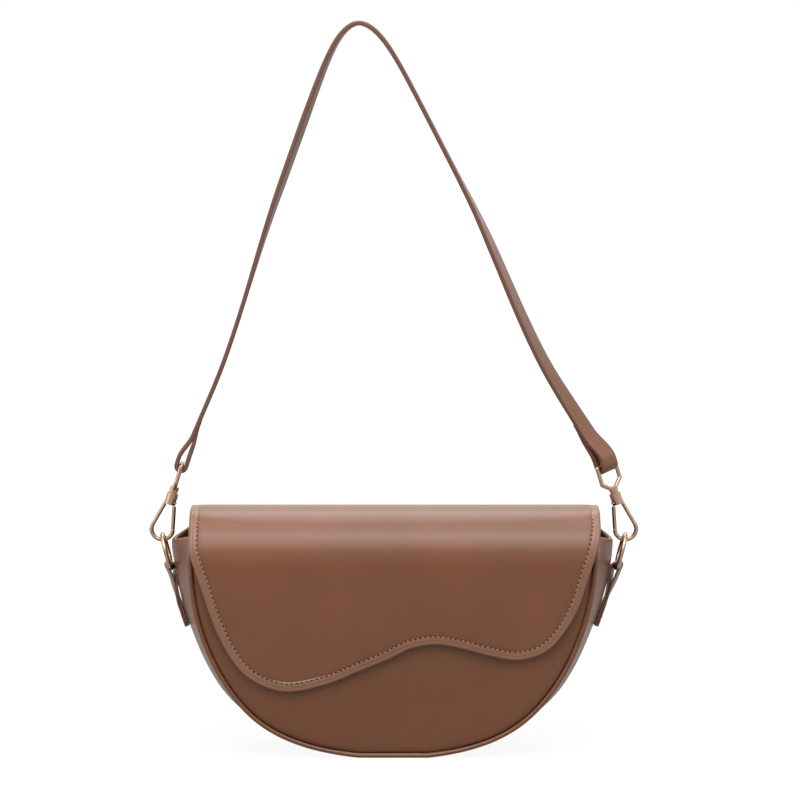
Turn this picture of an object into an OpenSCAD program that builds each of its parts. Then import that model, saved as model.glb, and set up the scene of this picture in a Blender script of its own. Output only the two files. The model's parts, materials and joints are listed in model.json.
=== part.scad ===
// Saddle handbag: a half-moon body with a waisted flap, hung from a flat strap on two snap hooks.
// Millimetres. X runs to the bag's right as it is seen from the front, Y to the back and Z up.
// The origin is the middle of the base. Left and right are those of someone who looks at the front.

/* [Body] */
// Width of the front and back panels at the rim
body_w = 225; // [190:1:260]
// Height of the rim above the base
body_h = 122; // [105:1:140]
// Depth over both panels
body_d = 60; // [48:1:80]
// Squareness of the panels' curved edge, where 2 is an ellipse
body_square_share = 2.25; // [2:0.05:2.8]
// Depth by which the curved edge is flattened to stand on
base_flat = 0.9; // [0.6:0.1:2]
// How far the gusset bulges out at half height
side_bulge = 5; // [3:0.5:7]
// How far the gusset bulges out at the rim
rim_bulge = 9; // [5:0.5:9]
// How far the gusset's rim dips between the panels
rim_dip = 4.5; // [2:0.5:8]
// Sharpness of the gusset's bulge, where 1 is round and 2 is drawn out to a fold
bulge_point_share = 1.6; // [1:0.1:2]

/* [Leather and boards] */
// Thickness of the outer leather
leather_t = 1.6; // [1.2:0.1:2]
// Thickness of the stiffening boards
board_t = 1; // [0.8:0.1:1.4]
// Thickness of the lining
lining_t = 0.8; // [0.5:0.1:1]
// Space between layers that are only sewn at their edges
layer_gap = 0.3; // [0.2:0.05:0.5]

/* [Flap] */
// Distance by which the flap's sides stand in from the ends of the rim
flap_margin = 0.5; // [0.5:0.5:6]
// Height of the flap's crown above the rim
crown_rise = 14.5; // [10:0.5:20]
// Roundness of the crown, where 2 is an ellipse
crown_square_share = 2.3; // [2:0.05:2.8]
// Distance from the rim down to the line where the flap folds
fold_drop = 4; // [2:0.5:8]
// Length of the flap below its fold, at its longest
flap_drop = 82; // [70:1:90]
// Gap between the two parts of the leather at each fold line
fold_gap = 0.3; // [0.2:0.05:0.6]
// Width of the band round the stiffener where the flap is only sewn leather
flap_seam_w = 7; // [6:0.5:12]

/* [Magnetic snap] */
// Diameter of the snap's discs
snap_d = 18; // [14:0.5:20]
// Distance from the rim down to the snap's centre
snap_drop = 45; // [42:1:48]
// Thickness of each disc
snap_disc_t = 1.3; // [1:0.1:1.4]
// Space from the front panel to the inside of the flap, which the snap fills
snap_gap = 3; // [2.8:0.1:4]
// Diameter of the stud that enters the socket
snap_stud_d = 6; // [5:0.5:8]
// Diameter of the washers that clamp the snap's halves
washer_d = 15; // [12:0.5:17]
// Thickness of those washers
washer_t = 0.5; // [0.4:0.1:0.8]
// Diameter of the rivet neck of each half
snap_neck_d = 3; // [2:0.5:4]

/* [Slip pocket] */
// Width of the pocket on the back lining
pocket_w = 120; // [80:1:140]
// Height of the pocket
pocket_h = 60; // [40:1:62]
// Height of the pocket's lower edge above the base
pocket_z = 42; // [40:1:50]
// Width of its seams
pocket_seam_w = 4; // [3:0.5:6]
// Space inside the pocket
pocket_gap = 1; // [0.6:0.1:2]

/* [Rings and tabs] */
// Diameter of the round wire of rings and hooks
wire_d = 2.4; // [2:0.1:2.6]
// Outer diameter of the O-rings
ring_d = 22; // [20:0.5:24]
// Lean of the rings away from the body, in degrees
ring_lean_share = 15; // [12:1:18]
// Width of the tabs that hold the rings
tab_w = 10; // [8:0.5:12]
// Length of a tab from the ring down to its end
tab_len = 30; // [24:1:34]
// Thickness of a tab over both of its layers
tab_t = 2.6; // [2:0.1:3]
// Thickness of leather round the ring
tab_loop_t = 1.3; // [1:0.1:1.6]

/* [Snap hooks] */
// Distance from the end of the rim out to where each hook holds its ring
hook_out = 16; // [15.5:0.5:20]
// Depth of that point below the rim
hook_drop = 4.5; // [3:0.5:6]
// Lean of the hooks towards the bag's middle, in degrees
hook_lean_share = 17; // [14:0.5:18]
// Radius of the hook's bow, at the middle of the wire
bow_r = 5.9; // [5.5:0.1:7]
// Lean of the hook's spine to its collar, in degrees
spine_lean_share = 13; // [11:0.5:14]
// Diameter of the hook's spine, a little slimmer than the bow
spine_d = 2.2; // [1.8:0.1:2.2]
// Height of the collar above the middle of the bow
collar_z = 14.6; // [14:0.1:16]
// Height of the collar
collar_h = 6.5; // [6:0.1:8]
// Diameter of the collar
collar_d = 6.4; // [6:0.1:7]
// Height of the neck above the collar
neck_h = 0.8; // [0.6:0.1:3]
// Diameter of the neck
neck_d = 4.6; // [4.2:0.1:5]
// Diameter of the swivel's post
post_d = 2.4; // [2:0.1:2.6]
// Diameter of the head on the swivel's post
head_d = 3.6; // [3.2:0.1:4]
// Thickness of that head
head_t = 1.2; // [0.8:0.1:1.4]
// Diameter of the gate's knuckle
knuckle_d = 2.5; // [2.2:0.1:2.8]
// Width of the gate's knuckle
knuckle_w = 1.4; // [1.2:0.1:1.6]
// Diameter of the gate's pin
gate_pin_d = 1; // [0.8:0.1:1.2]
// Diameter of the gate's bar
gate_d = 2.2; // [1.8:0.1:2.4]
// Radial clearance of a pin or post in its bore
running_gap = 0.05; // [0.02:0.01:0.1]
// Gap between metal pieces that move past each other
metal_gap = 0.3; // [0.2:0.05:0.5]
// Slack between each hook and its ring
link_gap = 0.6; // [0.5:0.05:0.8]

/* [Swivel eyes] */
// Height of the eye's top bar above the middle of the bow
eye_bar_z = 37.5; // [36:0.5:42]
// Height of the eye's yoke
yoke_h = 2.6; // [2:0.1:3]
// Diameter of the eye's yoke
yoke_d = 5; // [4:0.1:6]
// Height of the eye's sides where they are parallel
eye_side_h = 9.5; // [7:0.5:10]

/* [Strap] */
// Width of the strap
strap_w = 12; // [10:0.5:13]
// Thickness of each of the strap's two layers
strap_layer_t = 1.2; // [0.9:0.1:1.4]
// Height of the strap's highest point above the base
strap_top_z = 403.6; // [340:1:420]
// Distance of that point from the bag's middle, to the left
strap_top_x = 19; // [0:1:24]
// Half the strap's spread at its rounded top
apex_spread = 11; // [9:0.5:14]
// Height over which that rounded top forms
apex_h = 10; // [8:0.5:14]
// Length of the strap's ends that are turned back through the eyes
turn_back = 32; // [30:1:40]
// Length over which a turned-back end closes up to the strap
loop_len = 26; // [20:1:28]
// How long the loop stays open before it closes, where 1 closes it evenly
loop_open_share = 2.2; // [1:0.1:3]

/* [Hidden] */

leather = [0.56, 0.41, 0.34];
cloth = [0.78, 0.70, 0.62];
board = [0.80, 0.78, 0.72];
gold = [0.85, 0.74, 0.62];
steel = [0.72, 0.72, 0.74];

// Stations along the half moon, and steps across the gusset
edge_n = 44;
cross_n = 6;
// Overrun of every cut
cut = 1;

body_half = body_w / 2;
snap_z = body_h - snap_drop;
panel_y = body_d / 2;
inner_y = panel_y - leather_t;
board_y = inner_y - board_t;
lining_y = board_y - lining_t;
// Inset of what lies inside the gusset's leather
inside_inset = leather_t + layer_gap;

function soft_step(v) = let (c = min(1, max(0, v))) c * c * (3 - 2 * c);
function signed_pow(v, e) = sign(v) * pow(abs(v), e);
function blend(a, b, f) = a + (b - a) * f;
function unit(v) = v / norm(v);

// Point of the half moon at angle t, from -90 at the left end of the rim to 90 at the right
function edge_drop(t) = pow(abs(cos(t)), 2 / body_square_share);
function edge_is_flat(t) = (body_h + base_flat) * (1 - edge_drop(t)) <= base_flat;
function edge_point(t, inset = 0) = [
    (body_half - inset) * signed_pow(sin(t), 2 / body_square_share),
    inset + max(0, (body_h - inset + base_flat) * (1 - edge_drop(t)) - base_flat)];
function edge_normal(t) = edge_is_flat(t) ? [0, -1] : unit([
    signed_pow(sin(t), 2 - 2 / body_square_share) / body_half,
    -pow(abs(cos(t)), 2 - 2 / body_square_share) / (body_h + base_flat)]);
function edge_angle(z) = acos(pow(1 - (z + base_flat) / (body_h + base_flat), body_square_share / 2));
function half_moon(inset) = [for (i = [0:edge_n]) edge_point(-90 + 180 * i / edge_n, inset)];

// Point of the gusset's skin: t along the half moon, v across it from -1 to 1
function bulge_at(z) = side_bulge * soft_step(3 * z / body_h)
    + (rim_bulge - side_bulge) * soft_step(2 * z / body_h - 1);
function skin_point(t, v, inset, half_d) = let (
    p = edge_point(t), n = edge_normal(t), c = pow(max(0, cos(90 * v)), bulge_point_share),
    out = bulge_at(p[1]) * c - inset) [
    p[0] + n[0] * out,
    v * half_d,
    p[1] + n[1] * out - rim_dip * c * pow(p[1] / body_h, 6)];

// Closed solid through rings of points; the ends are closed by pairs of opposite points.
// Two solids that meet on one surface split its squares the same way if one of them is crossed.
module skin(rings, crossed = false) {
    n = len(rings[0]);
    last = len(rings) - 1;
    sides = [for (i = [0:last - 1], j = [0:n - 1]) let (a = i * n + j, b = i * n + (j + 1) % n)
        each (crossed ? [[a, b, a + n], [b, b + n, a + n]] : [[a, b, b + n], [a, b + n, a + n]])];
    start = [for (j = [0:n / 2 - 2]) let (k = n - 1 - j) each [[j, k, k - 1], [j, k - 1, j + 1]]];
    end = [for (f = start) [f[2] + last * n, f[1] + last * n, f[0] + last * n]];
    polyhedron([for (r = rings) each r], concat(sides, start, end));
}

// Strip of the gusset between two insets, over the angles t0 to t1
module gusset_strip(inset_out, inset_in, half_d, t0 = -90, t1 = 90, stations = edge_n) {
    skin([for (i = [stations:-1:0]) let (t = t0 + (t1 - t0) * i / stations) [
        for (j = [0:cross_n]) skin_point(t, 2 * j / cross_n - 1, inset_out, half_d),
        for (j = [cross_n:-1:0]) skin_point(t, 2 * j / cross_n - 1, inset_in, half_d)]]);
}

// Flat layer in the shape of the half moon, from depth y0 to y1
module moon_layer(y0, y1, inset = 0) {
    translate([0, y1, 0]) rotate([90, 0, 0]) linear_extrude(y1 - y0) polygon(half_moon(inset));
}

// Round bar along Y, centred on y
module bar_y(d, w, y = 0) {
    translate([0, y + w / 2, 0]) rotate([90, 0, 0]) cylinder(d = d, h = w, $fn = 32);
}

// Round rod between two points of the XZ plane
module rod(p, q, d) {
    v = q - p;
    translate([p[0], 0, p[1]]) rotate([0, atan2(v[0], v[1]), 0]) cylinder(d = d, h = norm(v), $fn = 32);
}

// Body: leather, boards and lining
module front_panel() color(leather) difference() {
    moon_layer(-panel_y, -inner_y);
    translate([0, 0, snap_z]) bar_y(snap_neck_d, 2 * (cut + leather_t), -inner_y);
}
module back_panel() color(leather) moon_layer(inner_y, panel_y);
module gusset() color(leather) gusset_strip(0, leather_t, inner_y);

module front_stiffener() color(board) difference() {
    moon_layer(-inner_y, -board_y, inside_inset);
    translate([0, 0, snap_z]) bar_y(washer_d + 2 * layer_gap, 2 * cut + board_t, -inner_y);
}
module back_stiffener() color(board) moon_layer(board_y, inner_y, inside_inset);

// The board in the base ends where the half moon has risen by this share of its height
base_rise_share = 0.12;
base_angle = edge_angle(body_h * base_rise_share);
module base_stiffener() color(board) gusset_strip(inside_inset, inside_inset + board_t,
    board_y - layer_gap, -base_angle, base_angle, edge_n / 2);

lining_inset = inside_inset + board_t + layer_gap;
module front_lining() color(cloth) moon_layer(-board_y, -lining_y, lining_inset);
module back_lining() color(cloth) moon_layer(lining_y, board_y, lining_inset);
module gusset_lining() color(cloth)
    gusset_strip(lining_inset, lining_inset + lining_t, lining_y - layer_gap);

module slip_pocket() color(cloth) difference() {
    depth = lining_t + pocket_gap;
    translate([-pocket_w / 2, lining_y - depth, pocket_z]) cube([pocket_w, depth, pocket_h]);
    translate([-pocket_w / 2 + pocket_seam_w, lining_y - pocket_gap, pocket_z + pocket_seam_w])
        cube([pocket_w - 2 * pocket_seam_w, pocket_gap + cut, pocket_h]);
}

// Where each hook holds its ring, on the right; the left side is its mirror image
link = [body_half + hook_out, body_h - hook_drop];
ring_r = (ring_d - wire_d) / 2;
ring_up = [sin(ring_lean_share), cos(ring_lean_share)];
ring_mid = link + [0, wire_d + link_gap] - ring_r * ring_up;
ring_foot = ring_mid - ring_r * ring_up;

module ring() color(gold) translate([ring_mid[0], 0, ring_mid[1]])
    rotate([0, 90 + ring_lean_share, 0])
    rotate_extrude($fn = 72) translate([ring_r, 0]) circle(d = wire_d, $fn = 24);

// The tab's path on the gusset, from below its loop to its end
tab_n = 8;
tab_start_z = ring_foot[1] - tab_len / 4;
tab_end_z = ring_foot[1] - tab_len;
tab_slot_d = wire_d + 2 * metal_gap;
// The ring curves up inside the tab by this much
tab_sag = ring_r - sqrt(pow(ring_r, 2) - pow(tab_w / 2, 2));
function tab_point(i, out) = let (
    p = skin_point(edge_angle(blend(tab_start_z, tab_end_z, i / tab_n)), 0, -out, 0)) [p[0], p[2]];
module tab() color(leather) rotate([90, 0, 0]) linear_extrude(tab_w, center = true) difference() {
    union() {
        hull() {
            translate(ring_foot) circle(d = tab_slot_d + 2 * tab_loop_t, $fn = 32);
            translate(ring_foot + tab_sag * ring_up) circle(d = tab_slot_d + 2 * tab_loop_t, $fn = 32);
            translate(tab_point(0, layer_gap + tab_t / 2)) circle(d = tab_t, $fn = 32);
        }
        polygon([for (i = [0:tab_n]) tab_point(i, layer_gap), for (i = [tab_n:-1:0])
            tab_point(i, layer_gap + tab_t)]);
    }
    hull() {
        translate(ring_foot) circle(d = tab_slot_d, $fn = 32);
        translate(ring_foot + tab_sag * ring_up) circle(d = tab_slot_d, $fn = 32);
    }
}
module tab_right() tab();
module tab_left() mirror([1, 0, 0]) tab();
module ring_right() ring();
module ring_left() mirror([1, 0, 0]) ring();

// Flap: a crown over the rim and a face down the front, joined at the fold line
flap_w = body_w - 2 * flap_margin;
fold_z = body_h - fold_drop;
hinge_z = body_h + fold_gap;
crown_z = body_h + crown_rise;
face_in_y = panel_y + snap_gap;
face_board_y = face_in_y + lining_t;
face_leather_y = face_board_y + board_t;
face_out_y = face_leather_y + leather_t;
crown_n = 40;
crown_mid_y = (panel_y - face_out_y) / 2;
crown_half = (panel_y + face_out_y) / 2;

// Section of the crown at a depth below its outer skin, from the fold at the front to the back rim
function crown_point(a, depth) = let (z0 = a < 90 ? fold_z : hinge_z) [
    crown_mid_y - (crown_half - depth) * signed_pow(cos(a), 2 / crown_square_share),
    z0 + (crown_z - depth - z0) * pow(abs(sin(a)), 2 / crown_square_share)];
module crown_layer(depth, t) {
    translate([-flap_w / 2, 0, 0]) rotate([90, 0, 90]) linear_extrude(flap_w) polygon([
        for (i = [0:crown_n]) crown_point(180 * i / crown_n, depth),
        for (i = [crown_n:-1:0]) crown_point(180 * i / crown_n, depth + t)]);
}
module flap_crown() color(leather) crown_layer(0, leather_t);
module flap_crown_lining() color(cloth) crown_layer(leather_t, lining_t);

// Free edge of the flap as shares of half its width and of its length below the fold
flap_edge_shares = [[-1, 0], [-0.988, 0.08], [-0.935, 0.3], [-0.88, 0.53], [-0.8, 0.757], [-0.7, 0.913],
    [-0.535, 1], [-0.34, 0.953], [-0.16, 0.852], [-0.02, 0.77], [0.08, 0.7], [0.196, 0.671], [0.318, 0.696],
    [0.464, 0.75], [0.6, 0.78], [0.732, 0.723], [0.82, 0.594], [0.89, 0.418], [0.944, 0.182], [0.985, 0]];
flap_edge_n = 4;
function spline(a, b, c, d, f) = ((2 * b) + (c - a) * f + (2 * a - 5 * b + 4 * c - d) * pow(f, 2)
    + (3 * b - a - 3 * c + d) * pow(f, 3)) / 2;
function flap_edge() = let (s = flap_edge_shares, n = len(s) - 1) [
    for (i = [0:n - 1], k = [0:flap_edge_n - 1]) let (
        p = spline(s[max(0, i - 1)], s[i], s[i + 1], s[min(n, i + 2)], k / flap_edge_n))
        [p[0] * flap_w / 2, fold_z - fold_gap - p[1] * flap_drop],
    [s[n][0] * flap_w / 2, fold_z - fold_gap]];

module flap_outline(inset = 0) offset(delta = -inset) polygon(flap_edge());
module face_layer(y_in, t, inset = 0) {
    translate([0, -y_in, 0]) rotate([90, 0, 0]) linear_extrude(t) flap_outline(inset);
}
// Bore through the flap at the snap
module snap_bore(d) translate([0, 0, snap_z]) bar_y(d, 2 * (cut + leather_t), -face_board_y);

module flap_face() color(leather) translate([0, -face_leather_y, 0]) rotate([90, 0, 0])
    linear_extrude(leather_t) polygon(flap_edge());
module flap_face_lining() color(cloth) difference() {
    face_layer(face_in_y, lining_t, layer_gap);
    snap_bore(snap_neck_d);
}
module flap_stiffener() color(board) difference() {
    face_layer(face_board_y, board_t, flap_seam_w);
    snap_bore(washer_d + 2 * layer_gap);
}

// Magnetic snap
socket_y = panel_y + snap_disc_t;
stud_y = face_in_y - snap_disc_t;
stud_reach = stud_y - panel_y - 2 * layer_gap;
// The socket's neck passes through the panel and its washer
neck_len = leather_t + washer_t;
module snap_disc(y0, y1) translate([0, 0, snap_z]) bar_y(snap_d, y1 - y0, -(y0 + y1) / 2);
module snap_socket() color(gold) difference() {
    union() {
        snap_disc(panel_y, socket_y - layer_gap);
        translate([0, 0, snap_z]) bar_y(snap_neck_d, neck_len, -panel_y + neck_len / 2);
    }
    translate([0, 0, snap_z]) bar_y(snap_stud_d + 4 * metal_gap, 2 * cut, -panel_y - layer_gap - cut);
}
module socket_washer() color(steel) difference() {
    translate([0, 0, snap_z]) bar_y(washer_d, washer_t, -inner_y + washer_t / 2);
    translate([0, 0, snap_z]) bar_y(snap_neck_d, 2 * cut, -inner_y);
}
module snap_stud() color(gold) translate([0, 0, snap_z]) {
    bar_y(snap_d, snap_disc_t, -(face_in_y + stud_y) / 2);
    bar_y(snap_stud_d, stud_reach, -stud_y + stud_reach / 2);
    bar_y(snap_neck_d, lining_t + washer_t, -face_in_y - (lining_t + washer_t) / 2);
}
module stud_washer() color(steel) translate([0, 0, snap_z]) difference() {
    bar_y(washer_d, washer_t, -face_board_y - washer_t / 2);
    bar_y(snap_neck_d, 2 * cut, -face_board_y);
}

// Snap hooks, drawn round the middle of the bow, with the spine on the outboard side
module at_hook() translate([link[0], 0, link[1] + bow_r]) rotate([0, -hook_lean_share, 0]) children();

collar_top = collar_z + collar_h;
neck_top = collar_top + neck_h;
head_room = head_t + 2 * metal_gap;
head_z = collar_top - leather_t / 2 - head_room;
gate_pin_at = [-collar_d / 2 + knuckle_d / 2 - metal_gap, collar_z + knuckle_d / 2 + metal_gap];
// The bow ends where its end faces the gate's bar
nose_lean = atan2(gate_pin_at[0] + bow_r * cos(spine_lean_share), gate_pin_at[1]);
nose_end = [-bow_r * cos(nose_lean), bow_r * sin(nose_lean)];
spine_start = [bow_r * cos(spine_lean_share), bow_r * sin(spine_lean_share)];
spine_len = collar_z - spine_start[1] + collar_h / 2;
spine_dir = [-sin(spine_lean_share), cos(spine_lean_share)];
slot_h = knuckle_d + 2 * metal_gap;

module hook() color(gold) difference() {
    union() {
        rotate([90, 0, 0]) rotate([0, 0, -180 - nose_lean])
            rotate_extrude(angle = 180 + nose_lean + spine_lean_share, $fn = 72)
            translate([bow_r, 0]) circle(d = wire_d, $fn = 24);
        rod(spine_start - spine_dir * spine_d / 4, spine_start + spine_dir * spine_len, spine_d);
        translate([0, 0, collar_z]) cylinder(d = collar_d, h = collar_h, $fn = 48);
        translate([0, 0, collar_top]) cylinder(d = neck_d, h = neck_h, $fn = 48);
    }
    translate([0, 0, head_z]) cylinder(d = head_d + 2 * metal_gap, h = head_room, $fn = 48);
    translate([0, 0, head_z]) cylinder(d = post_d + 2 * running_gap, h = neck_top + cut - head_z, $fn = 48);
    translate([-collar_d - knuckle_d / 2 + metal_gap, -knuckle_w, collar_z - cut])
        cube([collar_d, 2 * knuckle_w, slot_h + cut]);
    translate([gate_pin_at[0], 0, gate_pin_at[1]]) bar_y(gate_pin_d, 2 * collar_d);
}

gate_bar = gate_pin_at - nose_end;
gate_tip = nose_end + metal_gap * unit(gate_bar);
gate_y = -(knuckle_w - metal_gap) / 2;
// The bar ends just under the collar
gate_hold = (knuckle_d / 2 + 2 * metal_gap) / cos(nose_lean) + gate_d / 2 * tan(nose_lean);
module gate() color(gold) difference() {
    union() {
        translate([gate_pin_at[0], 0, gate_pin_at[1]]) bar_y(knuckle_d, knuckle_w, gate_y);
        translate([0, gate_y, 0]) rod(gate_tip, gate_pin_at - gate_hold * unit(gate_bar), gate_d);
        translate([0, gate_y, 0]) rod(gate_tip, gate_pin_at, knuckle_w / 2);
    }
    translate([gate_pin_at[0], 0, gate_pin_at[1]]) bar_y(gate_pin_d + 2 * running_gap, 2 * collar_d);
}
pin_len = 2 * sqrt(pow(collar_d / 2, 2) - pow(gate_pin_at[0], 2));
module gate_pin() color(steel) translate([gate_pin_at[0], 0, gate_pin_at[1]]) bar_y(gate_pin_d, pin_len);

// Torsion spring on the gate's pin, drawn as the sleeve that its turns fill
spring_d = knuckle_d - 2 * metal_gap;
spring_w = knuckle_w - gate_y - knuckle_w / 2 - 3 * running_gap;
module gate_spring() color(steel) translate([gate_pin_at[0], 0, gate_pin_at[1]]) difference() {
    bar_y(spring_d, spring_w / 2, knuckle_w - spring_w / 4 - running_gap);
    bar_y(gate_pin_d + 2 * running_gap, 2 * collar_d);
}

// Swivel eyes, with the top bar turned to the strap's width there
eye_half = strap_w / 2 + metal_gap + wire_d / 2;
yoke_z = neck_top + metal_gap;
eye_side_z = eye_bar_z - eye_side_h;
module swivel_eye(turn) color(gold) rotate([0, 0, turn]) {
    translate([0, 0, head_z + metal_gap]) cylinder(d = head_d, h = head_t, $fn = 48);
    translate([0, 0, head_z + metal_gap]) cylinder(d = post_d, h = yoke_z - head_z, $fn = 48);
    translate([0, 0, yoke_z]) cylinder(d = yoke_d, h = yoke_h, $fn = 48);
    rod([-eye_half, eye_bar_z], [eye_half, eye_bar_z], wire_d);
    for (s = [-1, 1]) {
        rod([s * yoke_d / 4, yoke_z + yoke_h / 2], [s * eye_half, eye_side_z], wire_d);
        rod([s * eye_half, eye_side_z], [s * eye_half, eye_bar_z], wire_d);
        translate([s * eye_half, 0, eye_side_z]) sphere(d = wire_d, $fn = 24);
        translate([s * eye_half, 0, eye_bar_z]) sphere(d = wire_d, $fn = 24);
    }
}

module hook_right() at_hook() hook();
module hook_left() mirror([1, 0, 0]) at_hook() hook();
module gate_right() at_hook() gate();
module gate_left() mirror([1, 0, 0]) at_hook() gate();
module gate_pin_right() at_hook() gate_pin();
module gate_pin_left() mirror([1, 0, 0]) at_hook() gate_pin();
module gate_spring_right() at_hook() gate_spring();
module gate_spring_left() mirror([1, 0, 0]) at_hook() gate_spring();

// Strap: turned to the front by these angles, over its length from the left end to the right
strap_twist_shares = [[-1, 0], [-0.5, 4], [0, 14], [0.4, 34], [1, 45]];
module swivel_eye_right() at_hook() swivel_eye(90 - lookup(1, strap_twist_shares));
module swivel_eye_left() mirror([1, 0, 0]) at_hook() swivel_eye(90 - lookup(-1, strap_twist_shares));

lean_dir = [sin(hook_lean_share), cos(hook_lean_share)];
bar_at = link + [0, bow_r] + eye_bar_z * [-lean_dir[0], lean_dir[1]];
leg_h = strap_top_z - bar_at[1];
loop_r = wire_d / 2 + metal_gap + strap_layer_t;
leg_n = 22;
wrap_n = 6;

// One leg, side -1 or 1: its middle line at height h above the eye's bar
function leg_x(side, h) = let (d = leg_h - h, reach = bar_at[0] + side * strap_top_x - apex_spread)
    -strap_top_x + side * (reach * d / leg_h + apex_spread * sqrt(1 - exp(-d / apex_h)));
function leg_out(side, h) = let (step = leg_h / 200, hi = min(h + step, leg_h), lo = hi - 2 * step,
    v = [leg_x(side, hi) - leg_x(side, lo), hi - lo]) unit([v[1], -v[0]] * side);
function leg_mid(side, h) = let (f = soft_step(h / loop_len),
    eye = [side * (bar_at[0] - h * lean_dir[0] / lean_dir[1]), bar_at[1] + h])
    blend(eye, [leg_x(side, h), bar_at[1] + h], f);
function leg_frame(side, h) = let (f = soft_step(h / loop_len),
    o = unit(blend([side * lean_dir[1], lean_dir[0]], leg_out(side, h), f)),
    a = lookup(side * (1 - h / leg_h), strap_twist_shares), n = [o[0], 0, o[1]])
    [n * cos(a) - [0, sin(a), 0], n * sin(a) + [0, cos(a), 0]];

// A station of the strap: its middle, its outward normal and its width direction
function leg_station(side, h, shift) = let (m = leg_mid(side, h), f = leg_frame(side, h))
    [[m[0], 0, m[1]] + shift * f[0], f[0], f[1]];
function main_shift(h) = loop_r * (1 - pow(soft_step(h / loop_len), loop_open_share));
function tail_station(side, h) = let (s = leg_station(side, h, -loop_r)) [s[0], -s[1], s[2]];
function wrap_station(side, g) = let (f = leg_frame(side, 0), up = [-side * lean_dir[0], 0, lean_dir[1]],
    o = f[0] * cos(g) - up * sin(g)) [[side * bar_at[0], 0, bar_at[1]] + loop_r * o, o, f[1]];
function leg(side) = [
    for (i = [3:-1:1]) tail_station(side, turn_back * i / 3),
    for (i = [wrap_n:-1:0]) wrap_station(side, 180 * i / wrap_n),
    for (i = [1:leg_n - 1]) let (h = leg_h * (1 - pow(1 - i / leg_n, 2)))
        leg_station(side, h, main_shift(h))];
top_turn = lookup(0, strap_twist_shares);
strap_top = [[[-strap_top_x, 0, strap_top_z], [0, -sin(top_turn), cos(top_turn)],
    [0, cos(top_turn), sin(top_turn)]]];
function reversed(l) = [for (i = [len(l) - 1:-1:0]) l[i]];
function strap_stations() = concat(leg(-1), strap_top, reversed(leg(1)));
module strap_layer(lo, hi, crossed) skin([for (s = strap_stations()) let (w = s[2] * strap_w / 2)
    [s[0] + s[1] * hi - w, s[0] + s[1] * hi + w, s[0] + s[1] * lo + w, s[0] + s[1] * lo - w]], crossed);
module strap_face() color(leather) strap_layer(0, strap_layer_t, false);
module strap_lining() color(leather) strap_layer(-strap_layer_t, 0, true);

front_panel();
back_panel();
gusset();
front_stiffener();
back_stiffener();
base_stiffener();
front_lining();
back_lining();
gusset_lining();
slip_pocket();
tab_left();
tab_right();
snap_socket();
socket_washer();
flap_crown();
flap_crown_lining();
flap_face();
flap_face_lining();
flap_stiffener();
snap_stud();
stud_washer();
ring_left();
ring_right();
hook_left();
hook_right();
gate_left();
gate_right();
gate_pin_left();
gate_pin_right();
gate_spring_left();
gate_spring_right();
swivel_eye_left();
swivel_eye_right();
strap_face();
strap_lining();
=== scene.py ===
import math

import bpy
from mathutils import Matrix, Vector
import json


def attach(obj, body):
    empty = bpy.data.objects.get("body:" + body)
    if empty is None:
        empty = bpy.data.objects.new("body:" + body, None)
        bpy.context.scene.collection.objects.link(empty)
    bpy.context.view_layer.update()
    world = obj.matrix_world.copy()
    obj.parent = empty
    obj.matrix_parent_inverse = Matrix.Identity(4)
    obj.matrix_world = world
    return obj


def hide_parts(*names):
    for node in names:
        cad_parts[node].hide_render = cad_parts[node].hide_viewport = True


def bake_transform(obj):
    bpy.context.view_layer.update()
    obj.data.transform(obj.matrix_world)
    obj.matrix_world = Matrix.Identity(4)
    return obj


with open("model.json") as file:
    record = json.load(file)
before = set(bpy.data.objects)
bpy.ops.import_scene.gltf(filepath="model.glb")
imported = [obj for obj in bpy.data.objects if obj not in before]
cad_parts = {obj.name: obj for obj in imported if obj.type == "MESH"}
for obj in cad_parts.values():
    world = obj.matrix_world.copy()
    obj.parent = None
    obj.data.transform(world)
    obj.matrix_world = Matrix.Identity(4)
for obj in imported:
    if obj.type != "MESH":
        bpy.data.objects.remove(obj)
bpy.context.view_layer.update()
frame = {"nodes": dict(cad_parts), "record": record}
mm = 0.001

# The camera looks at the bag's front from a little above, from far off
viewSettings = {"target": (3.4, 0, 195.5), "distance": 2750, "elevation": 7, "seenWidth": 442.4, "sensor": 36,
                "clip": (0.1, 20)}


def makeCamera(s):
    data = bpy.data.cameras.new("camera")
    data.sensor_width = s["sensor"]
    data.lens = s["sensor"] * s["distance"] / s["seenWidth"]
    data.clip_start, data.clip_end = s["clip"]
    camera = bpy.data.objects.new("camera", data)
    bpy.context.scene.collection.objects.link(camera)
    tilt = math.radians(s["elevation"])
    reach = Vector((0, -math.cos(tilt), math.sin(tilt))) * s["distance"]
    camera.location = (Vector(s["target"]) + reach) * mm
    camera.rotation_euler = (math.pi / 2 - tilt, 0, 0)
    bpy.context.scene.camera = camera


makeCamera(viewSettings)
print("camera ready")


# Materials

def linear(hexColour):
    # sRGB hex to the linear colour that the shader takes
    parts = [int(hexColour[i:i + 2], 16) / 255 for i in (1, 3, 5)]
    return tuple(p / 12.92 if p <= 0.04045 else ((p + 0.055) / 1.055) ** 2.4 for p in parts) + (1,)


def addNode(material, kind, settings=None, inputs=None):
    # Adds a node; an input given as (node, output) is linked and any other is set
    tree = material.node_tree
    node = tree.nodes.new("ShaderNode" + kind)
    for key, value in (settings or {}).items():
        setattr(node, key, value)
    for key, value in (inputs or {}).items():
        if isinstance(value, tuple) and hasattr(value[0], "outputs"):
            tree.links.new(value[0].outputs[value[1]], node.inputs[key])
        else:
            node.inputs[key].default_value = value
    return node


def newMaterial(name, preview):
    material = bpy.data.materials.new(name)
    material.use_nodes = True
    material.node_tree.nodes.clear()
    material.diffuse_color = linear(preview)
    return material


def addNoise(material, place, size, detail=2):
    # Noise in the object's own space; size in mm is that of its features
    return addNode(material, "TexNoise", inputs={"Vector": (place, "Object"), "Scale": 1 / (size * mm),
                                                 "Detail": detail})


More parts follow.
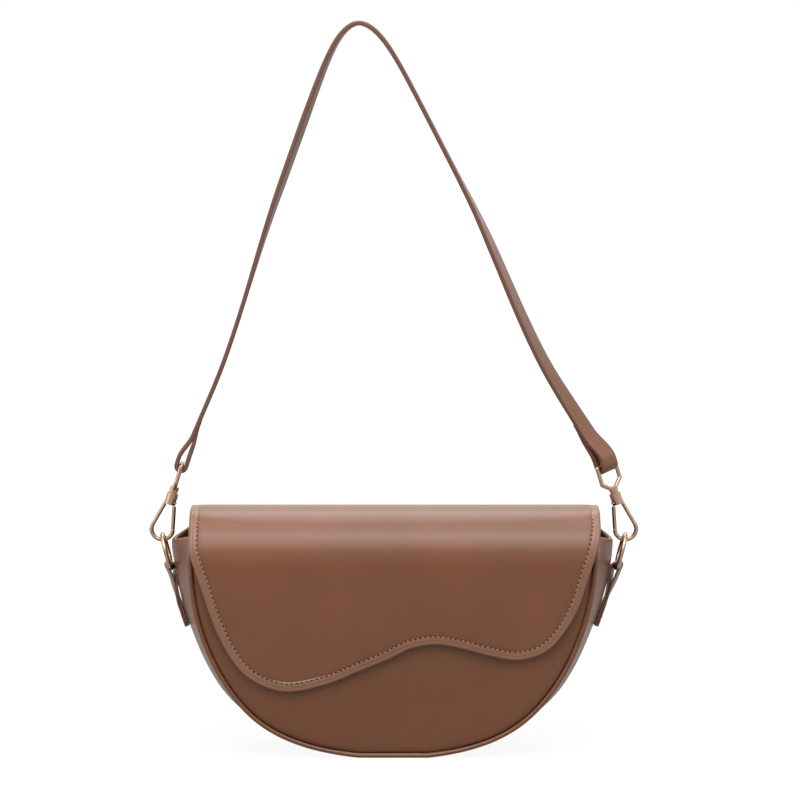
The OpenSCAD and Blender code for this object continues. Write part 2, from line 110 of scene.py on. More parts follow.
def addTones(material, factor, dark, light):
    return addNode(material, "Mix", {"data_type": "RGBA"}, {"Factor": factor, "A": linear(dark),
                                                            "B": linear(light)})


def addBump(material, height, strength, depth, **more):
    # depth in mm
    return addNode(material, "Bump", inputs={"Height": height, "Strength": strength, "Distance": depth * mm,
                                             **more})


def finishMaterial(material, inputs):
    shader = addNode(material, "BsdfPrincipled", inputs=inputs)
    addNode(material, "OutputMaterial", inputs={"Surface": (shader, "BSDF")})
    return material


# Coated split leather, embossed with a very fine grain: smooth to the eye, with a soft broad shine. Sizes in mm
# of the grain's cells, of two changes in tone, fleck and drift, and of the swell under the coat
leatherSettings = {"name": "coatedLeather", "colour": "#804e31", "darker": "#77482c", "grain": 0.7, "fleck": 3,
                   "swell": 9, "drift": 45, "roughness": 0.34}


def coatedLeather(s):
    m = newMaterial(s["name"], s["colour"])
    place = addNode(m, "TexCoord")
    drift = addNoise(m, place, s["drift"])
    fleck = addNoise(m, place, s["fleck"], 3)
    amount = addNode(m, "Math", {"operation": "MULTIPLY_ADD"}, {0: (fleck, "Fac"), 1: 0.35, 2: -0.17})
    total = addNode(m, "Math", {"operation": "ADD", "use_clamp": True}, {0: (drift, "Fac"), 1: (amount, 0)})
    tone = addNode(m, "MapRange", inputs={"Value": (total, 0), "From Min": 0.3, "From Max": 0.7})
    colour = addTones(m, (tone, "Result"), s["darker"], s["colour"])
    # The grain's cells, as the embossing roller leaves them
    cells = addNode(m, "TexVoronoi", {"feature": "SMOOTH_F1"}, {"Vector": (place, "Object"),
                    "Scale": 1 / (s["grain"] * mm), "Smoothness": 0.6})
    soft = addNoise(m, place, s["swell"], 3)
    grainBump = addBump(m, (cells, "Distance"), 0.05, 0.06)
    bump = addBump(m, (soft, "Fac"), 0.06, 0.5, Normal=(grainBump, "Normal"))
    rough = addNode(m, "MapRange", inputs={"Value": (fleck, "Fac"), "To Min": s["roughness"] - 0.04,
                                           "To Max": s["roughness"] + 0.06})
    return finishMaterial(m, {"Base Color": (colour, "Result"), "Roughness": (rough, "Result"),
                              "Normal": (bump, "Normal"), "IOR": 1.46, "Coat Weight": 0.05,
                              "Coat Roughness": 0.3, "Sheen Weight": 0.03, "Sheen Roughness": 0.5})


# Cut edge of the leather, sealed with edge paint a little darker than the face, which dries uneven
def edgePaint():
    m = newMaterial("edgePaint", "#6f4733")
    place = addNode(m, "TexCoord")
    ripple = addNoise(m, place, 1.6)
    tone = addTones(m, (ripple, "Fac"), "#66412f", "#7a5040")
    bump = addBump(m, (ripple, "Fac"), 0.15, 0.2)
    return finishMaterial(m, {"Base Color": (tone, "Result"), "Roughness": 0.38, "Normal": (bump, "Normal"),
                              "IOR": 1.5, "Coat Weight": 0.2, "Coat Roughness": 0.25})


# Polyester twill lining; its threads of 0.4 mm are drawn 0.8 mm apart so that the weave shows
liningSettings = {"thread": 0.8, "light": "#6f5648", "dark": "#55402f"}


def twillLining(s):
    m = newMaterial("twillLining", s["light"])
    place = addNode(m, "TexCoord")
    waves = {"Scale": 1 / (s["thread"] * mm) / math.pi, "Distortion": 0.6, "Detail": 1}
    warp = addNode(m, "TexWave", {"bands_direction": "DIAGONAL"}, {"Vector": (place, "Object"), **waves})
    weft = addNode(m, "TexWave", {"bands_direction": "Z"}, {"Vector": (place, "Object"), **waves})
    both = addNode(m, "Math", {"operation": "MULTIPLY"}, {0: (warp, "Fac"), 1: (weft, "Fac")})
    colour = addTones(m, (both, 0), s["dark"], s["light"])
    bump = addBump(m, (both, 0), 0.4, 0.15)
    return finishMaterial(m, {"Base Color": (colour, "Result"), "Roughness": 0.8, "Normal": (bump, "Normal"),
                              "Sheen Weight": 0.2, "Sheen Roughness": 0.4})


# Bonded nylon sewing thread, twisted, with a faint shine
def sewingThread():
    m = newMaterial("sewingThread", "#a17f6a")
    place = addNode(m, "TexCoord")
    twist = addNode(m, "TexWave", {"bands_direction": "DIAGONAL"}, {"Vector": (place, "Object"),
                    "Scale": 1 / (0.9 * mm), "Distortion": 0.5})
    tone = addTones(m, (twist, "Fac"), "#8d6b57", "#b5937d")
    bump = addBump(m, (twist, "Fac"), 0.3, 0.1)
    return finishMaterial(m, {"Base Color": (tone, "Result"), "Roughness": 0.5, "Normal": (bump, "Normal")})


# The needle's holes: dark discs on the surface, painted shade for the hollow of each hole
def needleHoleShade():
    m = newMaterial("needleHoleShade", "#2e1d16")
    place = addNode(m, "TexCoord")
    speck = addNoise(m, place, 0.8)
    tone = addTones(m, (speck, "Fac"), "#23150f", "#3a251c")
    return finishMaterial(m, {"Base Color": (tone, "Result"), "Roughness": 0.9})


# Zinc alloy, polished and plated in pale rose gold: mirror-like but softened by the polish
def platedZinc():
    m = newMaterial("platedRoseGold", "#bb9f89")
    place = addNode(m, "TexCoord")
    polish = addNoise(m, place, 1.5, 4)
    tone = addTones(m, (polish, "Fac"), "#a88a74", "#c4a992")
    rough = addNode(m, "MapRange", inputs={"Value": (polish, "Fac"), "To Min": 0.16, "To Max": 0.3})
    bump = addBump(m, (polish, "Fac"), 0.04, 0.1)
    return finishMaterial(m, {"Base Color": (tone, "Result"), "Metallic": 1, "Roughness": (rough, "Result"),
                              "Normal": (bump, "Normal")})


# Drawn steel wire and turned steel pins, left bare
def drawnSteel():
    m = newMaterial("drawnSteel", "#b9b9bc")
    place = addNode(m, "TexCoord")
    lines = addNoise(m, place, 0.5, 3)
    tone = addTones(m, (lines, "Fac"), "#a8a8ab", "#c4c4c6")
    rough = addNode(m, "MapRange", inputs={"Value": (lines, "Fac"), "To Min": 0.28, "To Max": 0.42})
    return finishMaterial(m, {"Base Color": (tone, "Result"), "Metallic": 1, "Roughness": (rough, "Result")})


# Bonded fibreboard, pressed from leather fibres
def fibreBoard():
    m = newMaterial("fibreBoard", "#b9a68c")
    place = addNode(m, "TexCoord")
    fibres = addNoise(m, place, 2, 6)
    tone = addTones(m, (fibres, "Fac"), "#9c8a72", "#cdbda4")
    bump = addBump(m, (fibres, "Fac"), 0.3, 0.2)
    return finishMaterial(m, {"Base Color": (tone, "Result"), "Roughness": 0.85, "Normal": (bump, "Normal")})


leather = coatedLeather(leatherSettings)
# The turned edge takes a paler leather, a painted sheen where its rounded rim catches the light, and the front
# and back panels a darker one, painted shade as they lie in less light than the flap
sheenBandLeather = coatedLeather({**leatherSettings, "name": "turnedEdgeSheenLeather", "colour": "#986a53",
                             "darker": "#8e604a"})
shadedPanelLeather = coatedLeather({**leatherSettings, "name": "shadedPanelLeather", "colour": "#7a4a2f",
                              "darker": "#72442a"})
paint = edgePaint()
twill = twillLining(liningSettings)
thread = sewingThread()
hole = needleHoleShade()
roseGold = platedZinc()
steel = drawnSteel()
board = fibreBoard()
print("materials ready")


# Shapes shared by the pieces, in millimetres as in the bag's pattern. The photo's bag is fuller than an even
# half moon: by lowFuller (left, right) near the base, leftFuller over its left side, leftExtra at its left rim

body = {"halfWidth": 112.5, "height": 122, "halfDepth": 30, "square": 2.25, "baseFlat": 0.9, "stations": 120,
        "sideBulge": 5, "rimBulge": 9, "fold": 1.6, "rimDip": 4.5, "dipPower": 6, "lowFuller": (6.3, 4.2),
        "lowSharp": 10, "leftFuller": 2.4, "leftFrom": 0.2, "leftExtra": 1.6, "extraFrom": 103, "extraRise": 17}


def softStep(v):
    c = min(1, max(0, v))
    return c * c * (3 - 2 * c)


def signedPower(v, e):
    return math.copysign(abs(v) ** e, v)


def moonPoint(t, inset=0):
    # Point of the half moon at angle t: -90 is the left end of the rim and 90 the right
    drop = 1 - abs(math.cos(math.radians(t))) ** (2 / body["square"])
    x = (body["halfWidth"] - inset) * signedPower(math.sin(math.radians(t)), 2 / body["square"])
    sharp = body["lowSharp"]
    x += math.copysign(body["lowFuller"][t > 0] * sharp * drop * math.exp(1 - sharp * drop), t)
    if t < 0:
        x -= body["leftFuller"] * 4 * drop * (1 - drop) * softStep(drop / body["leftFrom"])
    return x, inset + max(0, (body["height"] - inset + body["baseFlat"]) * drop - body["baseFlat"])


def moonNormal(t):
    # Outward normal of the even half moon, straight down along its flat base
    e = 2 - 2 / body["square"]
    if (body["height"] + body["baseFlat"]) * (1 - abs(math.cos(math.radians(t))) ** (2 / body["square"])) \
            <= body["baseFlat"]:
        return (0, -1)
    x = signedPower(math.sin(math.radians(t)), e) / body["halfWidth"]
    z = -abs(math.cos(math.radians(t))) ** e / (body["height"] + body["baseFlat"])
    return (x / math.hypot(x, z), z / math.hypot(x, z))


def moonInset(t, d):
    # Point at a distance d inside the half moon, square to its edge and never above the rim
    p, n = moonPoint(t), moonNormal(t)
    return (p[0] - n[0] * d, min(body["height"], p[1] - n[1] * d))


def bulgeAt(x, z):
    # The gusset bulges fully from a third of its height, more over the upper half, and most at the left rim
    extra = body["leftExtra"] * softStep((z - body["extraFrom"]) / body["extraRise"]) if x < 0 else 0
    return body["sideBulge"] * softStep(3 * z / body["height"]) \
        + (body["rimBulge"] - body["sideBulge"]) * softStep(2 * z / body["height"] - 1) + extra


def sidePoint(t, v, y, lift):
    # Point of the gusset's skin at angle t, where v runs across it from -1 to 1
    p, n = moonPoint(t), moonNormal(t)
    c = max(0, math.cos(math.pi / 2 * max(-1, min(1, v)))) ** body["fold"]
    out = bulgeAt(*p) * c
    z = p[1] + n[1] * (out + lift) - body["rimDip"] * c * (p[1] / body["height"]) ** body["dipPower"]
    return Vector((p[0] + n[0] * (out + lift), y, z))


def clearSelection():
    if bpy.context.object and bpy.context.object.mode != "OBJECT":
        bpy.ops.object.mode_set(mode="OBJECT")
    bpy.ops.object.select_all(action="DESELECT")


# Points nearer to each other than this, in mm, become one
weldDistance = 0.004


def shapedSheet(name, columns, rows, place, materials, away=None, closed=False, smooth=50, second=None):
    # A grid whose points are laid by place(column, row); away is a point that its faces turn their backs to,
    # and second tells which faces take the second material
    clearSelection()
    bpy.ops.mesh.primitive_grid_add(x_subdivisions=columns, y_subdivisions=rows, size=2)
    sheet = bpy.context.object
    sheet.name = sheet.data.name = name
    for material in materials:
        sheet.data.materials.append(material)
    if second is not None:
        for face in sheet.data.polygons:
            i = round((face.center.x + 1) / 2 * columns - 0.5)
            j = round((face.center.y + 1) / 2 * rows - 0.5)
            face.material_index = 1 if second(i, j) else 0
    for v in sheet.data.vertices:
        i = round((v.co.x + 1) / 2 * columns)
        j = round((v.co.y + 1) / 2 * rows)
        v.co = Vector(place(i, j)) * mm
    bpy.ops.object.mode_set(mode="EDIT")
    bpy.ops.mesh.select_all(action="SELECT")
    bpy.ops.mesh.remove_doubles(threshold=weldDistance * mm)
    if closed:
        bpy.ops.mesh.normals_make_consistent(inside=False)
    bpy.ops.object.mode_set(mode="OBJECT")
    if away is not None:
        centre = Vector(away) * mm
        lean = sum(p.normal.dot((p.center - centre).normalized()) * p.area for p in sheet.data.polygons)
        if lean < 0:
            sheet.data.flip_normals()
    bpy.ops.object.shade_smooth_by_angle(angle=math.radians(smooth))
    return sheet


def applyModifier(piece, name, kind, **settings):
    clearSelection()
    piece.select_set(True)
    bpy.context.view_layer.objects.active = piece
    modifier = piece.modifiers.new(name, kind)
    for key, value in settings.items():
        setattr(modifier, key, value)
    bpy.ops.object.modifier_apply(modifier=modifier.name)


# Front and back panels: a roll at the sewn edge, a slight crown, and a turned top edge

panel = {"roll": [0, 0.25, 0.7, 1.3, 2.1, 3.2, 4.8, 7, 10], "groove": 2.3, "sink": 1.9, "sinkWidth": 3.2,
         "crown": 0.9, "crownFrom": 2, "crownRise": 45, "crownTo": 118, "crownFade": 25, "rimHeight": 122.2,
         "rimThick": 3.6, "facing": 12, "facingY": 26.05, "upward": 22, "turnSteps": 6, "facingSteps": 3}


def overRim(x, y, over):
    # The top edge is turned over and faced down inside
    r = panel["rimThick"] / 2
    turn = math.pi * min(over, panel["turnSteps"]) / panel["turnSteps"]
    down = panel["facing"] * max(0, over - panel["turnSteps"]) / panel["facingSteps"]
    inside = panel["facingY"] if down else y - r + r * math.cos(turn)
    return (x, inside, panel["rimHeight"] - r + r * math.sin(turn) - down)


def panelPoint(i, row, side):
    # row runs in from the sewn edge, then up to the rim, then over it and down inside
    n, ups = len(panel["roll"]), panel["upward"]
    past = panel["turnSteps"] + panel["facingSteps"]
    t = -90 + 180 * min(body["stations"], max(0, i - past)) / body["stations"]
    edge = panel["roll"][min(row, n - 1)]
    top = panel["rimHeight"] - panel["rimThick"] / 2
    x, z = moonInset(t, panel["groove"] + edge)
    z = min(z, top)
    if row >= n:
        z += (top - z) * min(1, (row - n + 1) / ups)
    low = softStep((z - panel["crownFrom"]) / panel["crownRise"])
    high = softStep((panel["crownTo"] - z) / panel["crownFade"])
    puff = panel["crown"] * low * high * (1 - (x / body["halfWidth"]) ** 2)
    sink = panel["sink"] * (1 - min(1, edge / panel["sinkWidth"])) ** 2
    y = body["halfDepth"] - sink + puff * softStep(edge / panel["roll"][-1])
    over = max(row - (n - 1 + ups), past - i, i - past - body["stations"])
    if over > 0:
        x, y, z = overRim(x, y, over)
    return (x, side * y, z)


def makePanel(name, side, node):
    past = panel["turnSteps"] + panel["facingSteps"]
    columns = body["stations"] + 2 * past
    rows = len(panel["roll"]) - 1 + panel["upward"] + past
    # The panels take the darker leather, painted shade for the lesser light they get than the flap
    sheet = shapedSheet(name, columns, rows, lambda i, j: panelPoint(i, j, side), [shadedPanelLeather],
                        away=(0, 0, 70))
    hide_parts(node)
    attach(sheet, "bag")


makePanel("frontPanelLeather", -1, "front_panel")
makePanel("backPanelLeather", 1, "back_panel")
print("panels ready")


# Gusset: rolled out at both seams, bulging between them, hemmed at both ends

gusset = {"roll": 1.35, "rollSteps": 7, "rollFrom": -60, "rollTurn": 150, "across": 22, "hem": 9,
          "hemRoll": 1.5, "hemSquash": 0.8, "hemSteps": 5, "hemRows": 2}


def gussetPoint(t, j):
    # j runs across: the front roll, the bulge and the back roll
    steps, across = gusset["rollSteps"], gusset["across"]
    last = 2 * steps + across
    side = -1 if j <= last / 2 else 1
    k = min(j, last - j)
    r, half = gusset["roll"], body["halfDepth"]
    if k < steps:
        # From the groove, round the roll, to the side
        a = math.radians(gusset["rollFrom"] + gusset["rollTurn"] * k / steps)
        return sidePoint(t, side, side * (half - r + r * math.cos(a)), -r + r * math.sin(a))
    v = side * (1 - (k - steps) / (across / 2))
    return sidePoint(t, v, v * (half - r), 0)


def gussetRow(i, j, columns):
    # Both ends of the gusset turn over in a hem, which then runs down inside
    ends = gusset["hemSteps"] + gusset["hemRows"]
    if ends <= i <= columns - ends:
        t = -90 + 180 * (i - ends) / (columns - 2 * ends)
        return gussetPoint(t, j)
    left = i < ends
    k = ends - i if left else i - (columns - ends)
    side = -1 if left else 1
    base = gussetPoint(90 * side, j)
    r = gusset["hemRoll"]
    turn = math.pi * min(k, gusset["hemSteps"]) / gusset["hemSteps"]
    rise = r * math.sin(turn) * gusset["hemSquash"]
    point = base + Vector((-side * (r - r * math.cos(turn)), 0, rise))
    if k > gusset["hemSteps"]:
        point.z -= gusset["hem"] * (k - gusset["hemSteps"]) / gusset["hemRows"]
    return point


def makeGusset():
    columns = body["stations"] + 2 * (gusset["hemSteps"] + gusset["hemRows"])
    rows = 2 * gusset["rollSteps"] + gusset["across"]
    sheet = shapedSheet("gussetLeather", columns, rows, lambda i, j: gussetRow(i, j, columns), [leather],
                        away=(0, 0, 75))
    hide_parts("gusset")
    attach(sheet, "bag")


makeGusset()
print("gusset ready")


# Flap: its pattern is drawn flat, x across and s down from the front fold, then laid over the crown

flap = {"leftWidth": 112.7, "rightWidth": 113.8, "drop": 80.4, "foldZ": 118, "curveZ": 106, "crownZ": 136.5,
        "frontY": -36.4, "backY": 30, "backZ": 122.3, "square": 2.3, "thick": 2.4, "lean": 1.6, "leanOver": 75,
        "rim": 1.4, "backRim": 1.2, "backRoll": 0.6, "stitchInset": 4.7, "pitch": 2.8, "spineDrop": 14,
        "straightTo": -30, "leftTurn": -12, "rightTurn": -14, "lineStep": 0.8}
# The waved edge from left to right, as shares of the half width and of the drop
flapEdge = [(-1, 0), (-0.988, 0.08), (-0.935, 0.3), (-0.88, 0.53), (-0.8, 0.757), (-0.7, 0.913), (-0.535, 1),
            (-0.34, 0.953), (-0.16, 0.852), (-0.02, 0.77), (0.08, 0.7), (0.196, 0.671), (0.318, 0.696),
            (0.464, 0.75), (0.6, 0.78), (0.732, 0.723), (0.82, 0.594), (0.89, 0.418), (0.944, 0.182),
            (0.985, 0)]


def crownTable():
    # Points of the crown's section, from where the front straightens back to the rear rim, with the length
    half, middle = (flap["backY"] - flap["frontY"]) / 2, (flap["backY"] + flap["frontY"]) / 2
    points, length = [], 0
    steps = 720
    for k in range(steps + 1):
        a = math.pi * k / steps
        low = flap["curveZ"] if a < math.pi / 2 else flap["backZ"]
        y = middle - half * signedPower(math.cos(a), 2 / flap["square"])
        z = low + (flap["crownZ"] - low) * abs(math.sin(a)) ** (2 / flap["square"])
        if points:
            length += math.hypot(y - points[-1][1], z - points[-1][2])
        points.append((length, y, z))
    return points


crownPath = crownTable()
crownLength = crownPath[-1][0]
curveDrop = flap["foldZ"] - flap["curveZ"]
backDrop = curveDrop - crownLength


def crownAt(length):
    # Place and outward normal in the YZ plane at a length back along the section, the normal taken over several
    # points each way so that it turns smoothly
    length = min(crownLength, max(0, length))
    low, high = 0, len(crownPath) - 1
    while high - low > 1:
        mid = (low + high) // 2
        if crownPath[mid][0] <= length:
            low = mid
        else:
            high = mid
    a, b = crownPath[low], crownPath[high]
    f = (length - a[0]) / max(1e-9, b[0] - a[0])
    y, z = a[1] + (b[1] - a[1]) * f, a[2] + (b[2] - a[2]) * f
    wide = 6
    p, q = crownPath[max(0, low - wide)], crownPath[min(len(crownPath) - 1, high + wide)]
    run = math.hypot(q[1] - p[1], q[2] - p[2])
    return y, z, -(q[2] - p[2]) / run, (q[1] - p[1]) / run


def flapPlace(x, s, out=0):
    # The leather's outer face at (x, s), with out measured outwards from it
    if s < curveDrop:
        y, z, ny, nz = crownAt(curveDrop - s)
        return Vector((x, y + ny * out, z + nz * out))
    # Below its curve the flap leans in a little towards the body
    y = flap["frontY"] + flap["lean"] * softStep((s - curveDrop) / flap["leanOver"])
    return Vector((x, y - out, flap["foldZ"] - s))


def splinePoint(points, k, f):
    # Point at share f of the way from point k to the next, on a smooth curve through all points
    a, b, c, d = (points[min(len(points) - 1, max(0, k + m))] for m in (-1, 0, 1, 2))
    return tuple((2 * b[m] + (c[m] - a[m]) * f + (2 * a[m] - 5 * b[m] + 4 * c[m] - d[m]) * f ** 2
                  + (3 * b[m] - a[m] - 3 * c[m] + d[m]) * f ** 3) / 2 for m in range(len(b)))


def flapCurve():
    # The pattern's edge as a fine line: left side down, round the waves, right side up
    left, right = -flap["leftWidth"], flap["rightWidth"]
    pts = [(x * (right if x > 0 else -left), down * flap["drop"]) for x, down in flapEdge]
    pts = [(left, backDrop), (left, flap["straightTo"]), (left, flap["leftTurn"])] + pts \
        + [(right, flap["rightTurn"]), (right, flap["straightTo"]), (right, backDrop)]
    line = []
    for k in range(len(pts) - 1):
        b, c = pts[k], pts[k + 1]
        steps = max(4, int(math.dist(b, c) / flap["lineStep"]))
        straight = k < 2 or k > len(pts) - 4
        for n in range(steps):
            f = n / steps
            if straight:
                line.append(tuple(b[m] + (c[m] - b[m]) * f for m in (0, 1)))
            else:
                line.append(splinePoint(pts, k, f))
    line.append(pts[-1])
    return line


def evenly(line, count):
    # The line cut into count equal lengths
    lengths = [0]
    for a, b in zip(line, line[1:]):
        lengths.append(lengths[-1] + math.dist(a, b))
    out, k = [], 0
    for n in range(count + 1):
        want = lengths[-1] * n / count
        while k < len(lengths) - 2 and lengths[k + 1] < want:
            k += 1
        f = (want - lengths[k]) / max(1e-9, lengths[k + 1] - lengths[k])
        out.append(tuple(a + (b - a) * f for a, b in zip(line[k], line[k + 1])))
    return out, lengths[-1]


def inwardNormals(line):
    # At each point of the pattern's edge, the direction in to the leather
    normals, reach = [], 2
    for k in range(len(line)):
        a, b = line[max(0, k - reach)], line[min(len(line) - 1, k + reach)]
        dx, ds = b[0] - a[0], b[1] - a[1]
        run = math.hypot(dx, ds)
        normals.append((ds / run, -dx / run))
    return normals


flapColumns = 300
flapLine = evenly(flapCurve(), flapColumns)[0]
flapNormals = inwardNormals(flapLine)


def flapInset(k, d):
    p, n = flapLine[k], flapNormals[k]
    return (p[0] + n[0] * d, max(backDrop, p[1] + n[1] * d))


def spineAt(k):
    # Every column of the pattern runs in to a spine down its middle, where left and right columns meet
    return (0, min(flap["spineDrop"], max(backDrop, flapLine[min(k, flapColumns - k)][1])))


# The pattern's rows by their distance in from the edge, the number of rows from there to the spine, and which
# rows of faces, counted from the spine out and round the rim, the turned edge band covers, in the paler leather
# of painted sheen
flapRows = [0, 0.15, 0.45, 0.9, 1.4, 1.75, 2, 2.25, 2.8, 3.6, 4.2, 4.5, 4.7, 4.9, 5.3, 6.2, 7.4, 9]
flapInner = 9
flapSheenBand = (15, 30)

# Relief along the edge: a band pressed thin, a groove for the stitches and a crease beside the rim
relief = {"band": 0.55, "bandFrom": 0.5, "bandOver": 7, "groove": 0.3, "grooveWidth": 0.5, "crease": 0.16,
          "creaseAt": 2, "creaseWidth": 0.3, "crownLoss": 0.7, "crownOver": 18}


def flapRelief(d, s):
    # How far the outer face stands out at a distance d from the edge; on the crown the relief is shallower
    rim, depth = flap["rim"], 1 - relief["crownLoss"] * softStep(-s / relief["crownOver"])
    edge = -(rim - math.sqrt(max(0, rim ** 2 - (rim - min(d, rim)) ** 2)))
    band = -relief["band"] * (1 - softStep((d - relief["bandFrom"]) / relief["bandOver"]))
    furrows = -relief["groove"] * math.exp(-((d - flap["stitchInset"]) / relief["grooveWidth"]) ** 2) \
        - relief["crease"] * math.exp(-((d - relief["creaseAt"]) / relief["creaseWidth"]) ** 2)
    return edge + (band + furrows) * depth


def flapPoint(k, j, rowsTotal):
    # j runs from the spine out over the outer face, round the rim, and back in on the inner face
    n = len(flapRows)
    outer = j < n + flapInner
    step = j if outer else rowsTotal - j
    if step < flapInner:
        a, b = spineAt(k), flapInset(k, flapRows[-1])
        f = step / flapInner
        x, s = a[0] + (b[0] - a[0]) * f, a[1] + (b[1] - a[1]) * f
        # This far in the face is flat, and a rough distance will do
        d = flapRows[-1] + 2 * (flapInner - step)
    else:
        d = flapRows[max(0, n - 1 - (step - flapInner))]
        x, s = flapInset(k, d)
    # The two ends of the edge lie on the rear rim, where it has no relief
    atBack = flapLine[k][1] <= backDrop + 0.01
    if outer:
        return flapPlace(x, s, 0 if atBack else flapRelief(d, s))
    return flapPlace(x, s, -flap["thick"] + flap["backRoll"] * max(0, flap["backRim"] - d))


def foldWithFlap(piece):
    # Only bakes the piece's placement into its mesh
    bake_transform(piece)


def makeFlap():
    rows = 2 * (flapInner + len(flapRows)) - 1
    # The turned edge band takes the paler leather, its paleness a painted sheen
    sheet = shapedSheet("flapLeather", flapColumns, rows, lambda i, j: flapPoint(i, j, rows),
                        [leather, sheenBandLeather], closed=True,
                        second=lambda i, j: flapSheenBand[0] <= j <= flapSheenBand[1])
    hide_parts("flap_crown", "flap_face")
    foldWithFlap(sheet)


makeFlap()
print("flap ready")


# Inside of the flap: a second skin of the same leather, a little smaller than the flap

flapInside = {"margin": 2.6, "thick": 0.3, "rows": 10}


def makeFlapInside(s):
    def place(k, j):
        a, b = flapInset(k, s["margin"]), spineAt(k)
        f = j / s["rows"]
        return flapPlace(a[0] + (b[0] - a[0]) * f, a[1] + (b[1] - a[1]) * f, -flap["thick"] - s["thick"] / 2)

    sheet = shapedSheet("flapInsideLeather", flapColumns, s["rows"], place, [leather], away=(0, -90, 130))
    applyModifier(sheet, "wall", "SOLIDIFY", thickness=s["thick"] * mm, offset=0)
    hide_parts("flap_crown_lining", "flap_face_lining")
    foldWithFlap(sheet)


makeFlapInside(flapInside)
print("flap's inside ready")


# Stitches: one spindle of thread and one needle hole, a dark disc of painted shade, copied along each seam

stitching = {"thread": 0.74, "rise": 0.6, "share": 0.62, "threadLift": 0.1, "hole": 1.3, "holeNarrow": 0.8,
             "holeLift": 0.02, "clear": 0.05}


def stitchRow(name, spots, s=stitching):
    # spots are (place, outward normal) of the needle holes, in order
    clearSelection()
    bpy.ops.mesh.primitive_uv_sphere_add(segments=8, ring_count=6, radius=0.5 * mm)
    loop = bpy.context.object
    loop.data.materials.append(thread)
    bpy.ops.object.shade_smooth()
    # A flat dark disc for each needle hole, painted shade
    bpy.ops.mesh.primitive_cone_add(vertices=10, radius1=0.5 * mm, radius2=0.3 * mm, depth=0.1 * mm)
    holeShadePit = bpy.context.object
    holeShadePit.data.materials.append(hole)
    copies = []

    def lay(template, along, normal, size, centre):
        side = normal.cross(along).normalized()
        turned = Matrix((along * size[0], side * size[1], normal * size[2])).transposed().to_4x4()
        piece = template.copy()
        piece.data = template.data.copy()
        piece.data.transform(Matrix.Translation(centre * mm) @ turned)
        bpy.context.scene.collection.objects.link(piece)
        copies.append(piece)

    for (a, n), (b, _) in zip(spots, spots[1:]):
        along = (b - a).normalized()
        out = (n - along * n.dot(along)).normalized()
        lay(loop, along, out, ((b - a).length * s["share"], s["thread"], s["rise"]),
            (a + b) / 2 + out * s["threadLift"])
        lay(holeShadePit, along, out, (s["hole"], s["hole"] * s["holeNarrow"], 1), a + out * s["holeLift"])
    clearSelection()
    for piece in copies:
        piece.select_set(True)
    bpy.context.view_layer.objects.active = copies[0]
    bpy.ops.object.join()
    row = bpy.context.object
    row.name = row.data.name = name
    for template in (loop, holeShadePit):
        bpy.data.objects.remove(template)
    return row


def flapStitches(s):
    line = [flapInset(k, flap["stitchInset"]) for k in range(flapColumns + 1)]
    middle = len(line) // 2
    line = [q for k, q in enumerate(line) if q[1] > (s["leftTop"] if k < middle else s["rightTop"])]
    count = round(evenly(line, 1)[1] / flap["pitch"])
    spots = []
    for x, down in evenly(line, count)[0]:
        place = flapPlace(x, down, flapRelief(flap["stitchInset"], down) + stitching["clear"])
        spots.append((place, flapPlace(x, down, 1) - flapPlace(x, down, 0)))
    foldWithFlap(stitchRow("flapStitches", spots))


flapStitches({"leftTop": -19, "rightTop": -23})
print("flap's stitches ready")


# Strips: the strap and the tabs are long strips with a rounded section and painted edges

def stripSection(width, thick, soft, across, crown=0):
    # Points round the section as (across, out, whether cut edge), its corners rounded in steps of 30 degrees
    half, r, points = width / 2, min(soft, thick / 2), []
    for side in (1, -1):
        for k in range(across + 1):
            u = (half - r) * (2 * k / across - 1)
            points.append((side * u, side * (thick / 2 + crown * (1 - (u / half) ** 2)), False))
        for k in range(1, 4):
            a = math.radians(90 - 30 * k)
            points.append((side * (half - r + r * math.cos(a)), side * (thick / 2 - r + r * math.sin(a)), True))
        for k in range(3):
            a = math.radians(-30 * k)
            points.append((side * (half - r + r * math.cos(a)), side * (r - thick / 2 + r * math.sin(a)), True))
    return points


def strip(name, stations, section, smooth=40):
    # stations are (middle, outward, across, share of the thickness); both ends are closed
    columns, rows = len(stations) + 1, len(section)

    def place(i, j):
        middle, out, across, thin = stations[min(max(i - 1, 0), len(stations) - 1)]
        u, v, _ = section[j % rows]
        return middle if i in (0, columns) else middle + across * u + out * (v * thin)

    def cutEdge(i, j):
        return i in (0, columns - 1) or section[j % rows][2] or section[(j + 1) % rows][2]

    return shapedSheet(name, columns, rows, place, [leather, paint], closed=True, smooth=smooth, second=cutEdge)


def throughPoints(points, count):
    # Even points on a smooth curve through the given ones
    steps = 12
    line = [splinePoint(points, k, n / steps) for k in range(len(points) - 1) for n in range(steps)]
    return evenly(line + [tuple(points[-1])], count)[0]


# Strap: both legs rise from the eyes to one rounded top, turning as they go; each end runs
# through its eye, opens in a leaf and is skived and glued back to the inner face

strap = {"width": 12, "thick": 2.4, "soft": 0.6, "crown": 0.1, "topX": 19, "topZ": 403.6, "spread": 11,
         "apexHeight": 10, "link": (128.5, 117.5), "bow": 5.9, "bar": 37.5, "lean": 17, "straighten": 18,
         "sag": {-1: 3.0, 1: 5.2}, "sagRise": 60, "sagFade": 90, "loopRadius": 2.7, "turnBack": 25,
         "leafStart": 3, "leafLength": 13, "skived": 0.14, "skiveFrom": 9, "skiveEnd": 24, "glue": 0.03,
         "across": 8, "loopSteps": 20, "barSteps": 12, "legSteps": 64, "slopeSteps": 200}
